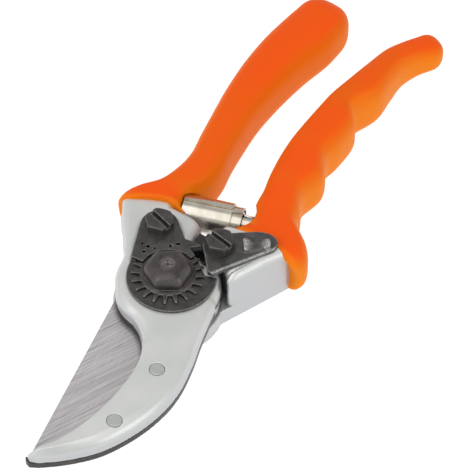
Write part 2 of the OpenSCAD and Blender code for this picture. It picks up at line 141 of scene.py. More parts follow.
class Field:
    """Values on a flat grid, read back with bilinear interpolation."""

    def __init__(self, lo, hi, step):
        self.lo, self.step = np.array(lo, float), step
        self.n = np.ceil((np.array(hi) - self.lo) / step).astype(int) + 1
        gx = self.lo[0] + step * np.arange(self.n[0])
        gy = self.lo[1] + step * np.arange(self.n[1])
        self.x, self.y = (g.ravel() for g in np.meshgrid(gx, gy, indexing="ij"))

    def fill(self, values):
        self.v = values.reshape(self.n[0], self.n[1]).astype(np.float32)
        return self

    def __call__(self, x, y):
        fx = np.clip((x - self.lo[0]) / self.step, 0, self.n[0] - 1.001)
        fy = np.clip((y - self.lo[1]) / self.step, 0, self.n[1] - 1.001)
        i, j = fx.astype(int), fy.astype(int)
        fx, fy, v = fx - i, fy - j, self.v
        return ((v[i, j] * (1 - fy) + v[i, j + 1] * fy) * (1 - fx)
                + (v[i + 1, j] * (1 - fy) + v[i + 1, j + 1] * fy) * fx)


def distance_to(line, x, y):
    """Distance from each point to an open line."""
    best = np.full(len(x), 1e9)
    for a, b in zip(line[:-1], line[1:]):
        e = b - a
        t = np.clip(((x - a[0]) * e[0] + (y - a[1]) * e[1]) / max(e @ e, 1e-12), 0, 1)
        best = np.minimum(best, (x - a[0] - t * e[0]) ** 2 + (y - a[1] - t * e[1]) ** 2)
    return np.sqrt(best)


def inside(loop, x, y):
    odd = np.zeros(len(x), bool)
    for a, b in zip(loop, np.roll(loop, -1, 0)):
        if a[1] == b[1]:
            continue
        crosses = ((a[1] > y) != (b[1] > y)) & (x < (b[0] - a[0]) * (y - a[1]) / (b[1] - a[1]) + a[0])
        odd ^= crosses
    return odd


def outline_field(loop, pad=4.0, step=0.25):
    """Signed distance to a closed outline, negative inside."""
    f = Field(loop.min(0) - pad, loop.max(0) + pad, step)
    d = distance_to(np.vstack([loop, loop[:1]]), f.x, f.y)
    return f.fill(np.where(inside(loop, f.x, f.y), -d, d))


def smin(a, b, k):
    h = np.clip(0.5 + 0.5 * (b - a) / k, 0, 1)
    return b + (a - b) * h - k * h * (1 - h)


def smax(a, b, k):
    return -smin(-a, -b, k)


def rounded(d2, dz, r):
    """Meeting of an outline's distance and a height's distance, with an edge of radius r."""
    u, v = d2 + r, dz + r
    return np.minimum(np.maximum(u, v), 0) + np.hypot(np.maximum(u, 0), np.maximum(v, 0)) - r


def slab(d2, z, z0, z1, r0, r1):
    """Outline drawn out from z0 to z1, with rounded lower and upper edges."""
    return np.maximum(rounded(d2, z0 - z, r0), rounded(d2, z - z1, r1))


def smoothstep(a, b, x):
    t = np.clip((x - a) / (b - a), 0, 1)
    return t * t * (3 - 2 * t)


# ---------------------------------------------------------------- meshes from distance fields


def surface(f, lo, hi, h):
    """Vertices (mm) and quads of the surface f = 0, by surface nets, then moved onto it."""
    lo, hi = np.array(lo, float) - 2 * h, np.array(hi, float) + 2 * h
    n = np.ceil((hi - lo) / h).astype(int) + 1
    ax = [lo[k] + h * np.arange(n[k]) for k in range(3)]
    F = np.empty(tuple(n), np.float32)
    for i, x in enumerate(ax[0]):
        Y, Z = np.meshgrid(ax[1], ax[2], indexing="ij")
        F[i] = f(np.full(Y.size, x), Y.ravel(), Z.ravel()).reshape(Y.shape)
    S = F < 0
    corners = [(i, j, k) for i in (0, 1) for j in (0, 1) for k in (0, 1)]
    size = [m - 1 for m in n]

    def corner(A, c):
        return A[c[0]:c[0] + size[0], c[1]:c[1] + size[1], c[2]:c[2] + size[2]]

    count = sum(corner(S, c).astype(np.int8) for c in corners)
    active = (count > 0) & (count < 8)
    cells = np.argwhere(active)
    index = np.full(active.shape, -1, np.int64)
    index[active] = np.arange(len(cells))
    total, hits = np.zeros((len(cells), 3)), np.zeros(len(cells))
    for a in corners:
        for axis in range(3):
            if a[axis]:
                continue
            b = list(a)
            b[axis] = 1
            fa = corner(F, a)[active].astype(float)
            fb = corner(F, tuple(b))[active].astype(float)
            cut = (fa < 0) != (fb < 0)
            t = np.where(cut, fa / np.where(fa == fb, 1, fa - fb), 0)
            at = np.array(a, float)[None, :] + t[:, None] * (np.array(b) - np.array(a))[None, :]
            total += at * cut[:, None]
            hits += cut
    verts = lo + (cells + total / hits[:, None]) * h
    quads = []
    for axis in range(3):
        u, v = [(1, 2), (2, 0), (0, 1)][axis]
        lower = [slice(None)] * 3
        upper = [slice(None)] * 3
        lower[axis], upper[axis] = slice(0, -1), slice(1, None)
        change = S[tuple(lower)] != S[tuple(upper)]
        e = np.argwhere(change)
        e = e[(e[:, u] > 0) & (e[:, v] > 0) & (e[:, u] < n[u] - 1) & (e[:, v] < n[v] - 1)]
        out = S[tuple(e.T)]
        around = []
        for du, dv in ((-1, -1), (0, -1), (0, 0), (-1, 0)):
            c = e.copy()
            c[:, u] += du
            c[:, v] += dv
            around.append(index[tuple(c.T)])
        q = np.stack(around, 1)
        q[~out] = q[~out][:, ::-1]
        quads.append(q)
    quads = np.concatenate(quads)
    for _ in range(3):
        value, slope = gradient(f, verts, h * 0.25)
        step = value[:, None] * slope / np.maximum((slope ** 2).sum(1), 0.2)[:, None]
        verts -= np.clip(step, -h * 0.6, h * 0.6)
    return verts, quads


def gradient(f, p, e):
    value = f(p[:, 0], p[:, 1], p[:, 2])
    slope = np.empty_like(p)
    for k in range(3):
        a, b = p.copy(), p.copy()
        a[:, k] += e
        b[:, k] -= e
        slope[:, k] = (f(*a.T) - f(*b.T)) / (2 * e)
    return value, slope


def mesh_object(name, verts, faces, material):
    """A smooth-shaded mesh object from vertices in millimetres."""
    me = bpy.data.meshes.new(name)
    me.from_pydata((np.asarray(verts) * MM).tolist(), [], [tuple(int(i) for i in q) for q in faces])
    me.validate()
    me.polygons.foreach_set("use_smooth", np.ones(len(me.polygons), bool))
    me.materials.append(material)
    ob = bpy.data.objects.new(name, me)
    bpy.context.scene.collection.objects.link(ob)
    return ob


def solid(name, f, lo, hi, h, material):
    """Mesh of a distance field on a grid of step h, with normals from the field."""
    verts, quads = surface(f, lo, hi, h)
    ob = mesh_object(name, verts, quads, material)
    co = np.empty(len(ob.data.vertices) * 3)
    ob.data.vertices.foreach_get("co", co)
    _, slope = gradient(f, co.reshape(-1, 3) / MM, h * 0.3)
    slope /= np.maximum(np.linalg.norm(slope, axis=1), 1e-9)[:, None]
    ob.data.normals_split_custom_set_from_vertices(slope.tolist())
    return ob


def finished(ob, body, slot, *nodes):
    """Puts a piece on its body, in place of its CAD nodes; its slot is not used."""
    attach(ob, body)
    if nodes:
        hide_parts(*nodes)
    return ob


# ---------------------------------------------------------------- materials


class Surface:
    """A Principled material with its nodes in millimetres of the object's own space."""

    def __init__(self, name, metallic, roughness, **sockets):
        self.mat = bpy.data.materials.new(name)
        self.mat.use_nodes = True
        self.tree = self.mat.node_tree
        self.shader = self.tree.nodes["Principled BSDF"]
        self.shader.inputs["Metallic"].default_value = metallic
        self.shader.inputs["Roughness"].default_value = roughness
        for key, value in sockets.items():
            self.shader.inputs[key.replace("_", " ")].default_value = value
        where = self.node("ShaderNodeTexCoord").outputs["Object"]
        self.mm = self.moved(where, scale=(1000, 1000, 1000))
        self.normal = None

    def node(self, kind, **settings):
        n = self.tree.nodes.new(kind)
        for key, value in settings.items():
            setattr(n, key, value)
        return n

    def put(self, target, value):
        if hasattr(value, "is_output"):
            self.tree.links.new(value, target)
        else:
            target.default_value = value

    def moved(self, vector, scale=(1, 1, 1), turn=(0, 0, 0)):
        m = self.node("ShaderNodeMapping", vector_type="TEXTURE")
        self.put(m.inputs["Vector"], vector)
        m.inputs["Scale"].default_value = [1 / a for a in scale]
        m.inputs["Rotation"].default_value = [math.radians(a) for a in turn]
        return m.outputs["Vector"]

    def noise(self, scale, detail, rough, vector=None):
        n = self.node("ShaderNodeTexNoise")
        self.put(n.inputs["Vector"], vector or self.mm)
        n.inputs["Scale"].default_value = scale
        n.inputs["Detail"].default_value = detail
        n.inputs["Roughness"].default_value = rough
        return n.outputs["Fac"]

    def spread(self, value, a, b, lo=0.0, hi=1.0):
        m = self.node("ShaderNodeMapRange")
        self.put(m.inputs["Value"], value)
        for key, v in (("From Min", a), ("From Max", b), ("To Min", lo), ("To Max", hi)):
            m.inputs[key].default_value = v
        return m.outputs["Result"]

    def maths(self, how, a, b=0.0):
        m = self.node("ShaderNodeMath", operation=how)
        self.put(m.inputs[0], a)
        self.put(m.inputs[1], b)
        return m.outputs[0]

    def mix(self, a, b, amount):
        m = self.node("ShaderNodeMix", data_type="RGBA")
        self.put(m.inputs[0], amount)
        self.put(m.inputs[6], a if hasattr(a, "is_output") else (*a, 1))
        self.put(m.inputs[7], b if hasattr(b, "is_output") else (*b, 1))
        return m.outputs[2]

    def attribute(self, name):
        return self.node("ShaderNodeAttribute", attribute_name=name).outputs["Fac"]

    def height(self, value, strength, depth):
        b = self.node("ShaderNodeBump")
        b.inputs["Strength"].default_value = strength
        b.inputs["Distance"].default_value = depth * MM
        self.put(b.inputs["Height"], value)
        if self.normal is not None:
            self.put(b.inputs["Normal"], self.normal)
        self.normal = b.outputs["Normal"]

    def finish(self, colour, roughness):
        self.put(self.shader.inputs["Base Color"], colour)
        self.put(self.shader.inputs["Roughness"], roughness)
        if self.normal is not None:
            self.put(self.shader.inputs["Normal"], self.normal)
        return self.mat


def forged_aluminium():
    s = Surface("forged_aluminium", 0.5, 0.3)
    grain = s.noise(5.5, 4, 0.65)
    cloud = s.noise(0.09, 2, 0.5)
    scuff = s.noise(1.0, 3, 0.6, s.moved(s.mm, (0.25, 1.6, 1), (0, 0, 32)))
    base = s.mix((0.69, 0.705, 0.68), (0.765, 0.775, 0.755), s.spread(cloud, 0.3, 0.7))
    base = s.mix(base, (0.76, 0.77, 0.76), s.spread(scuff, 0.56, 0.8, 0, 0.4))
    # Painted shade: faces that turn steep are darker, and nooks near other parts are darkened almost to
    # black.
    facing = s.node("ShaderNodeSeparateXYZ")
    s.put(facing.inputs[0], s.node("ShaderNodeNewGeometry").outputs["Normal"])
    base = s.mix(base, (0.52, 0.53, 0.545), s.spread(facing.outputs[2], 0.85, 0.15, 0, 0.95))
    base = s.mix(base, (0.82, 0.83, 0.82), s.spread(s.attribute("edge"), 0.3, 0.8, 0, 0.3))
    base = s.mix(base, (0.10, 0.102, 0.10), s.spread(s.attribute("painted_nook_shade"), 0.35, 1.0, 0, 0.75))
    s.height(grain, 0.12, 0.05)
    s.height(s.noise(0.35, 3, 0.5), 0.08, 0.4)
    return s.finish(base, s.spread(grain, 0.3, 0.7, 0.34, 0.44))


def grip_plastic():
    s = Surface("orange_grip", 0.0, 0.5, Specular_IOR_Level=0.1)
    cloud = s.noise(0.07, 3, 0.5)
    # Painted light: faces turned up are a redder orange and steep sides a paler one, rims near the edges
    # get a yellow painted sheen, and nooks a dark red painted shade.
    up = s.node("ShaderNodeSeparateXYZ")
    s.put(up.inputs[0], s.node("ShaderNodeNewGeometry").outputs["Normal"])
    flat = s.maths("ADD", up.outputs[2], s.spread(cloud, 0.3, 0.7, -0.05, 0.05))
    base = s.mix((0.88, 0.165, 0.002), (0.97, 0.105, 0.005), s.spread(flat, 0.5, 0.95))
    base = s.mix(base, (0.88, 0.235, 0.0015), s.spread(up.outputs[2], 0.45, 0.0, 0, 0.8))
    base = s.mix(base, (0.98, 0.26, 0.004), s.spread(s.attribute("edge"), 0.25, 0.8, 0, 0.7))
    base = s.mix(base, (0.45, 0.03, 0.004), s.spread(s.attribute("painted_nook_shade"), 0.25, 0.8, 0, 0.4))
    pores = s.noise(3.2, 3, 0.6)
    s.height(pores, 0.1, 0.06)
    s.height(s.noise(0.16, 2, 0.4), 0.12, 0.5)
    return s.finish(base, s.spread(pores, 0.3, 0.7, 0.45, 0.58))


def dark_steel(name="dark_steel", tint=(1.0, 0.95, 0.92), polish_and_highlight=None):
    """Blackened steel, rubbed bright on its edges and, for some parts, on its highest places. The light
    line on the lock plate's rim and the catch's bevel, and the light band on the catch pad's raised ends,
    are painted highlights; nooks get painted shade.
    """
    s = Surface(name, 0.6, 0.38)
    cloud = s.noise(0.35, 4, 0.6)
    grain = s.noise(7.0, 3, 0.6)
    rub = s.noise(1.8, 4, 0.65)
    base = s.mix([0.050 * c for c in tint], [0.105 * c for c in tint], s.spread(cloud, 0.3, 0.7))
    wear_and_highlight = s.maths("MULTIPLY", s.spread(s.attribute("edge"), 0.16, 0.6), s.spread(rub, 0.3, 0.65))
    base = s.mix(base, [0.36 * c for c in tint], wear_and_highlight)
    rough = s.spread(grain, 0.3, 0.7, 0.27, 0.44)
    if polish_and_highlight:
        low, high = polish_and_highlight
        where = s.node("ShaderNodeSeparateXYZ")
        s.put(where.inputs[0], s.mm)
        shine = s.maths("MULTIPLY", s.spread(where.outputs[2], low, high), s.spread(rub, 0.35, 0.6, 0.2, 1))
        base = s.mix(base, [0.55 * c for c in tint], shine)
    # Painted shade: nooks near other parts are darkened.
    base = s.mix(base, (0.02, 0.019, 0.018), s.spread(s.attribute("painted_nook_shade"), 0.3, 0.9, 0, 0.5))
    s.height(grain, 0.14, 0.05)
    s.height(rub, 0.12, 0.14)
    return s.finish(base, rough)


def ground_steel():
    """Dark plate with ground sides: lines across its thickness show on the sides."""
    s = Surface("ground_dark_steel", 0.7, 0.4)
    cloud = s.noise(0.4, 3, 0.6)
    lines = s.noise(1.0, 4, 0.7, s.moved(s.mm, (2.6, 2.6, 0.25)))
    base = s.mix((0.034, 0.032, 0.031), (0.090, 0.086, 0.083), s.spread(lines, 0.32, 0.68))
    base = s.mix(base, (0.14, 0.135, 0.13), s.spread(cloud, 0.5, 0.8, 0, 0.4))
    s.height(lines, 0.35, 0.06)
    return s.finish(base, s.spread(lines, 0.3, 0.7, 0.32, 0.5))


def blade_steel():
    s = Surface("blade_steel", 0.75, 0.33)
    along = s.moved(s.mm, (0.05, 2.6, 1.0), (0, 0, 68))
    wide = s.moved(s.mm, (0.03, 0.8, 0.4), (0, 0, 68))
    fine, broad = s.noise(1.0, 4, 0.75, along), s.noise(1.0, 3, 0.6, wide)
    cross = s.noise(1.0, 3, 0.7, s.moved(s.mm, (0.08, 2.6, 1.0), (0, 0, 97)))
    base = s.mix((0.43, 0.405, 0.41), (0.86, 0.83, 0.835), s.spread(fine, 0.36, 0.66))
    base = s.mix(base, (0.58, 0.55, 0.56), s.spread(broad, 0.35, 0.7, 0, 0.6))
    base = s.mix(base, (0.86, 0.84, 0.84), s.spread(cross, 0.56, 0.72, 0, 0.6))
    # Painted shade: the blade is darkened where other parts lie close.
    base = s.mix(base, (0.16, 0.15, 0.15), s.spread(s.attribute("painted_nook_shade"), 0.25, 0.95, 0, 0.6))
    s.height(fine, 0.3, 0.03)
    s.height(cross, 0.12, 0.03)
    return s.finish(base, s.spread(fine, 0.3, 0.7, 0.26, 0.42))


def rivet_metal():
    s = Surface("rivet_metal", 0.6, 0.42)
    lines = s.noise(1.0, 3, 0.6, s.moved(s.mm, (0.5, 6, 1), (0, 0, 20)))
    base = s.mix((0.46, 0.485, 0.45), (0.58, 0.60, 0.565), s.spread(lines, 0.3, 0.7))
    s.height(lines, 0.2, 0.03)
    return s.finish(base, s.spread(lines, 0.3, 0.7, 0.36, 0.5))


def bright_steel():
    s = Surface("bright_steel", 0.9, 0.3)
    turned = s.noise(1.0, 3, 0.6, s.moved(s.mm, (3, 3, 8)))
    base = s.mix((0.46, 0.45, 0.44), (0.66, 0.65, 0.63), s.spread(turned, 0.3, 0.7))
    s.height(turned, 0.15, 0.03)
    return s.finish(base, s.spread(turned, 0.3, 0.7, 0.22, 0.4))


def nickel():
    s = Surface("nickel_spring", 0.95, 0.2)
    cloud = s.noise(0.3, 3, 0.5)
    streak = s.noise(1.0, 3, 0.6, s.moved(s.mm, (0.4, 5, 5), (0, 0, -20)))
    base = s.mix((0.54, 0.495, 0.42), (0.67, 0.63, 0.555), s.spread(cloud, 0.3, 0.7))
    base = s.mix(base, (0.55, 0.50, 0.42), s.spread(streak, 0.55, 0.8, 0, 0.5))
    s.height(streak, 0.12, 0.03)
    return s.finish(base, s.spread(streak, 0.3, 0.7, 0.15, 0.3))


def rubber():
    s = Surface("black_rubber", 0.0, 0.6)
    grain = s.noise(6, 3, 0.6)
    base = s.mix((0.012, 0.012, 0.012), (0.035, 0.034, 0.033), s.spread(grain, 0.3, 0.7))
    s.height(grain, 0.2, 0.06)
    return s.finish(base, s.spread(grain, 0.3, 0.7, 0.5, 0.7))


ALUMINIUM, ORANGE, DARK = forged_aluminium(), grip_plastic(), dark_steel()
NUT = dark_steel("nut_steel", (1.0, 0.90, 0.86), (25.58, 25.9))
# The catch is tinted lighter than the other blackened steel to stand in for the light on it, and the
# lighter band on its pad's raised ends is a painted highlight.
CATCH = dark_steel("catch_steel", (1.15, 1.12, 1.09), (22.75, 23.5))
GROUND, BLADE, RIVET = ground_steel(), blade_steel(), rivet_metal()
BRIGHT, NICKEL, RUBBER = bright_steel(), nickel(), rubber()

# ---------------------------------------------------------------- forgings

SPRING_AT, SPRING_Z, SPRING_TURN = (-11.1, 30.9), 10.8, 20.0
SPRING_LIFT = 0.45
AXIS = np.array([math.cos(math.radians(SPRING_TURN)), math.sin(math.radians(SPRING_TURN))])


def spring_coordinates(x, y, z):
    """Distance along the spring's axis and away from it."""
    u, v = x - SPRING_AT[0], y - SPRING_AT[1]
    return u * AXIS[0] + v * AXIS[1], np.hypot(v * AXIS[0] - u * AXIS[1], z - SPRING_Z)


def spring_seat(x, y, z):
    s, r = spring_coordinates(x, y, z)
    return np.maximum(r - 6.5, np.maximum(-4.5 - s, s - 20.7))


def near(at, x, y):
    return np.hypot(x - at[0], y - at[1])


jaw = outline_field(hook_outline)
left_body = outline_field(left_body_outline)
left_cut = outline_field(left_mouth)
left_bar = outline_field(hook_core)
LINE_WINDOW = ((-38, -86), (34, 30))


def line_field(line):
    f = Field(*LINE_WINDOW, 0.5)
    return f.fill(distance_to(line, f.x, f.y))


near_edge = line_field(curve(HOOK_INNER[1:], 4))
near_throat = line_field(joined(arc(BOSS_R, 120, 228, 12), curve(THROAT[:-1], 4)))
near_back = line_field(joined(curve(HOOK_OUTER, 4), arc(BOSS_R, 8, 60, 6)))


def left_edge(x, y, z):
    """Where the left grip meets its forging: lower down it starts further back."""
    return left_cut(x, y) - 0.13 * np.maximum(17 - z, 0)


def hook_handle(x, y, z):
    weights = [1 / (f(x, y) + 0.3) ** 4 for f in (near_edge, near_throat, near_back)]
    soft = (0.45 * weights[0] + 2.8 * weights[1] + 4.0 * weights[2]) / sum(weights)
    from_tip = (x - 4.0) * 0.67 + (y + 79.2) * 0.74
    top = TOP_Z - 3.4 * np.clip(1 - from_tip / 4.5, 0, 1.2) ** 2
    d = jaw(x, y)
    plate = np.maximum(rounded(d, z - top, soft), rounded(d, JAW_Z - z, 0.15))
    body = left_body(x, y) - 0.9 * smoothstep(5, 12, y) * smoothstep(-17, -21, x)
    body_soft = 2.4 + 2.2 * smoothstep(-9, -3.5, x) * smoothstep(12, 17, y)
    body = np.maximum(rounded(body, z - TOP_Z, body_soft), rounded(body, BACK_Z - z, 1.2))
    body = np.maximum(body, left_edge(x, y, z) - 0.5)
    bar = slab(left_bar(x, y), z, *CORE_Z, 2, 2)
    r = np.hypot(x, y)
    body = smin(body, bar, 0.8)
    body = smax(body, -np.maximum(r - 18.6, z - JAW_Z), 0.3)
    f = smin(plate, body, 1.2)
    f = smax(f, -spring_seat(x, y, z), 0.5)
    f = smax(f, 4.6 - r, 0.3)
    for at in RIVETS:
        f = smax(f, 2.46 - near(at, x, y), 0.25)
    return smax(f, 2.5 - near(LOCK_SCREW, x, y), 0.3)


block = outline_field(block_outline)
right_cut = outline_field(right_mouth)
right_bar = outline_field(blade_core)
gusset = outline_field(joined([(0, 0), (17.8, 1.5), (17.4, 5), (26.2, 27.8), (20, 24)]))


def right_edge(x, y, z):
    """Where the right grip meets its forging: bowed towards the grip below mid height."""
    return right_cut(x, y) - np.maximum(1.15 - 0.022 * (z - 7.5) ** 2, -1.0)


def blade_handle(x, y, z):
    r = np.hypot(x, y)
    cut = right_edge(x, y, z)
    wall = 0.933 * x - 0.36 * y - 14.5 + 0.079 * z
    skin = np.maximum(np.maximum(block(x, y) - 2.2, wall), -4 - wall)
    d = np.minimum(block(x, y), skin)
    corner = smoothstep(48, 34, np.degrees(np.arctan2(y, x)))
    step = r - 17.4 - 1.0 * corner
    d_step = smax(d, -step, 0.5 + 2.6 * corner)
    d = np.where(z > 6.0, d_step, d)
    tall = np.maximum(rounded(d, z - 20.2, 3.3), rounded(d, BACK_Z - z, 0.8))
    tall = np.maximum(tall, cut - 0.5)
    tall = smax(tall, -np.maximum(step, HEAD_Z - z), 0.4)
    bar = slab(right_bar(x, y), z, *CORE_Z, 2, 2)
    bar = smax(bar, -np.maximum(step, HEAD_Z - z), 0.4)
    head = slab(r - 17.9, z, 0.9, HEAD_Z, 1.0, 0.5)
    web = np.maximum(slab(gusset(x, y), z, BACK_Z, HEAD_Z, 0.8, 0.5), wall)
    f = smin(smin(tall, bar, 0.8), head, 0.6)
    f = np.minimum(f, web)
    f = smax(f, -spring_seat(x, y, z), 0.5)
    f = smax(f, 5.8 - r, 0.3)
    f = smax(f, -np.maximum(r - 8.8, z - 2.25), 0.3)
    f = smax(f, -np.maximum(near((9, 11.5), x, y) - np.maximum(2.45, 4.4 - 0.9 * (z - 1)), z - 7.5), 0.2)
    return smax(f, -np.maximum(near(CATCH_SCREW, x, y) - 1.55, 12 - z), 0.2)


# ---------------------------------------------------------------- grips


# Squareness of a grip along its length, where it meets its forging, and over its end
RIB_POWER, MOUTH_POWER, END_POWER = 2.9, 3.6, 2.25
MOUTH_EDGE = 0.9


class Loft:
    """A grip's ribs as a field: place across the rib, its half width and height, and past the end."""

    def __init__(self, ribs, cap, window):
        smooth = curve(ribs, 10)
        mid = (smooth[:, 0:2] + smooth[:, 2:4]) / 2
        half = (smooth[:, 0:2] - smooth[:, 2:4]) / 2
        f = Field(*window, 0.5)
        p = np.stack([f.x, f.y], 1)
        g = ((p[:, None, 0] - mid[None, :, 0]) * half[None, :, 1]
             - (p[:, None, 1] - mid[None, :, 1]) * half[None, :, 0])
        turn = (g[:, :-1] < 0) != (g[:, 1:] < 0)
        t = np.where(turn, g[:, :-1] / np.where(turn, g[:, :-1] - g[:, 1:], 1), 0)
        m = mid[None, :-1] * (1 - t[..., None]) + mid[None, 1:] * t[..., None]
        h = half[None, :-1] * (1 - t[..., None]) + half[None, 1:] * t[..., None]
        u = ((p[:, None] - m) * h).sum(2) / (h * h).sum(2)
        score = np.where(turn, np.abs(u), 1e6)
        best = score.argmin(1)
        row = np.arange(len(p))
        found = score[row, best] < 1e5
        side = np.sign(half[-1, 0])
        ahead = side * np.array([-half[-1, 1], half[-1, 0]]) / np.linalg.norm(half[-1])
        past = (p - mid[-1]) @ ahead
        at_end = (past > 0) & (~found | (np.abs(u[row, best]) > 1.6) | (past < 40))
        at_end &= np.linalg.norm(p - mid[-1], axis=1) < 60
        first = ~found & ~at_end

        def pick(inner, last, start):
            return np.where(at_end, last, np.where(first, start, inner))

        along = best + t[row, best]
        rib = np.arange(len(smooth))
        u_end = ((p - mid[-1]) @ half[-1]) / (half[-1] @ half[-1])
        u_start = ((p - mid[0]) @ half[0]) / (half[0] @ half[0])
        width = np.linalg.norm(half, axis=1)
        self.u = Field(*window, 0.5).fill(pick(u[row, best], u_end, u_start))
        self.w = Field(*window, 0.5).fill(
            pick(np.interp(along, rib, width), width[-1], width[0]))
        self.h = Field(*window, 0.5).fill(
            pick(np.interp(along, rib, smooth[:, 4]), smooth[-1, 4], smooth[0, 4]))
        self.s = Field(*window, 0.5).fill(np.where(at_end, past / cap, 0))
        blend = MOUTH_POWER + (RIB_POWER - MOUTH_POWER) * smoothstep(15, 48, rib)
        self.p = Field(*window, 0.5).fill(pick(np.interp(along, rib, blend), RIB_POWER, MOUTH_POWER))

    def __call__(self, x, y, z):
        u, w, h, s = self.u(x, y), self.w(x, y), self.h(x, y), self.s(x, y)
        v, p = (z - GRIP_MID) / h, self.p(x, y)
        k = (np.abs(u) ** p + np.abs(v) ** p) ** (1 / p)
        k = (k ** END_POWER + np.maximum(s, 0) ** END_POWER) ** (1 / END_POWER)
        return (k - 1) * np.minimum(w, h)


hook_loft = Loft(HOOK_RIBS, 10.5, ((-46, 6), (4, 142)))
blade_loft = Loft(BLADE_RIBS, 5.6, ((-14, 12), (44, 150)))


def hook_grip(x, y, z):
    f = hook_loft(x, y, z)
    f = smax(f, -left_edge(x, y, z), MOUTH_EDGE)
    return smax(f, -spring_seat(x, y, z), MOUTH_EDGE)


def blade_grip(x, y, z):
    f = blade_loft(x, y, z)
    f = smax(f, -right_edge(x, y, z), MOUTH_EDGE)
    return smax(f, -spring_seat(x, y, z), MOUTH_EDGE)


# ---------------------------------------------------------------- small parts


# Screw heads across their flats, and half the nut across its flats
SCREW_FLATS, NUT_HALF_FLATS = 8.6, 7.3
NUT_TEETH, RIVET_R = 20, 2.4


def hexagon(at, turn, x, y):
    """Largest distance from the axis, measured square to the three pairs of flats."""
    best = None
    for k in range(3):
        a = math.radians(turn + 60 * k)
        d = np.abs((x - at[0]) * math.cos(a) + (y - at[1]) * math.sin(a))
        best = d if best is None else np.maximum(best, d)
    return best


def hex_head(at, flats, turn, z0, z1, x, y, z):
    """Hexagonal head from z0 to z1, with its corners coned off at the top."""
    cone = (near(at, x, y) - (flats / math.sqrt(3) - 0.75) + 1.5 * (z - z1)) / 1.8
    f = smax(hexagon(at, turn, x, y) - flats / 2, z - z1, 0.3)
    return smax(smax(f, cone, 0.25), z0 - z, 0.2)


def slotted_screw(at, z0, z1, z2, end_r, turn):
    def f(x, y, z):
        r = near(at, x, y)
        head = hex_head(at, SCREW_FLATS, turn, z2, z2 + 3.2, x, y, z)
        a = math.radians(turn)
        across = np.abs(-(x - at[0]) * math.sin(a) + (y - at[1]) * math.cos(a))
        head = smax(head, -np.maximum(across - 0.68, z2 + 1.7 - z), 0.2)
        neck = np.maximum(r - 2.4, np.maximum(z1 - z, z - z2 - 0.5))
        thread = 0.10 * np.cos(2 * math.pi * (z / 0.8 + np.arctan2(y - at[1], x - at[0]) / (2 * math.pi)))
        end = np.maximum(r - end_r + 0.1 + thread, np.maximum(z0 - z, z - z1 - 0.5))
        return np.minimum(np.minimum(head, neck), end)
    return f


def pivot_bolt(x, y, z):
    r = np.hypot(x, y)
    head = rounded(r - 8.5, np.abs(z - 1.1) - 1.1, 0.4)
    shank = np.maximum(r - 4.5, np.maximum(1 - z, z - 10.5))
    neck = np.maximum(np.maximum(np.abs(x), np.abs(y)) - 3.78, np.maximum(10.4 - z, z - TOP_Z))
    turn = np.arctan2(y, x) / (2 * math.pi)
    thread = 0.12 * np.cos(2 * math.pi * (z / 1.0 + turn))
    stud = smax(r - 3.85 + thread, np.maximum(18.3 - z, z - 24.6), 0.3)
    return np.minimum(np.minimum(head, shank), np.minimum(neck, stud))


def gear_rim(r, turn):
    """Outline of the nut's teeth at a radius, with the turn counted in teeth."""
    from_tooth = (turn - np.round(turn)) * 2 * math.pi * r / NUT_TEETH
    flank = (np.abs(from_tooth) - 0.76 + 0.13 * (r - 9.0)) * 0.97
    return smin(r - 9.0, smax(flank, r - 11.9, 0.4), 0.3)


def pivot_nut(x, y, z):
    r = np.hypot(x, y)
    turn = np.arctan2(y, x) / (2 * math.pi) * NUT_TEETH - 0.7
    gear = smax(gear_rim(r, turn), np.maximum(19.5 - z, z - 20.4), 0.2)
    gear = smax(gear, (z - 20.4 + 0.4 * (r - 10.6)) * 0.92, 0.2)
    collar = rounded(r - 8.6, np.maximum(20.0 - z, z - 20.85), 0.35)
    side = hexagon((0, 0), 5, x, y) - NUT_HALF_FLATS
    dome = (z - 25.75 + 0.022 * r * r) * 0.94
    cap = smax(smax(side, r - 8.0, 0.5), dome, 3.2)
    cap = np.maximum(cap, 20.4 - z)
    f = smin(smin(gear, collar, 0.3), cap, 0.35)
    f = smax(f, z - 25.72 + 0.3 * np.exp(-((r - 3.1) / 0.3) ** 2), 0.1)
    for at, size in (((0.3, -0.3), 0.8), ((1.3, 0.2), 0.5), ((-0.6, 0.7), 0.45), ((0.6, 1.0), 0.4),
                     ((-0.3, -1.2), 0.35)):
        dent = np.sqrt((x - at[0]) ** 2 + (y - at[1]) ** 2 + (z - 25.7 - 0.3 * size) ** 2) - 0.8 * size
        f = smax(f, -dent, 0.12)
    return smax(f, np.minimum(3.98 - r, 24.75 - z), 0.1)


plate_ear = joined([(-19.2, 11.2), (-13, -3), (-8, -10), (9, 5), (5.6, 9), (0.5, 11.4), (-10, 19.4),
                    (-16, 18)])
plate_fan = outline_field(plate_ear, pad=26)
plate_step = outline_field(
    joined([(0, 12.2), (5, 9.8), (9.6, 6.6), (13.4, 8), (20, 12), (8, 20)]), pad=30)
plate_land = outline_field(
    joined([(-30, -2.6), (-6, -0.8), (1.6, 6), (4.2, 14), (4.2, 30), (-30, 30)]), pad=20)
PITS = [(-11.4, 4.9, 0.62), (-11.2, 2.5, 0.5), (-13.6, 4.9, 0.4), (-5.5, 9.2, 0.5), (-4.1, 11.2, 0.55),
        (-9.3, 5.4, 0.35)]


def plate_outline(x, y):
    d = smin(near((1, 0.5), x, y) - 14.5, near(LOCK_SCREW, x, y) - 6.3, 1.0)
    return smax(smin(d, plate_fan(x, y), 0.4), -plate_step(x, y), 0.3)


# Painted highlight: a thin light line round the plate's top edge, added to the rubbed-edge mark.
def plate_rim_highlight(x, y, z):
    return 0.45 * smoothstep(0.3, 0.1, np.abs(plate_outline(x, y) + 0.12)) * (z > 19.1)


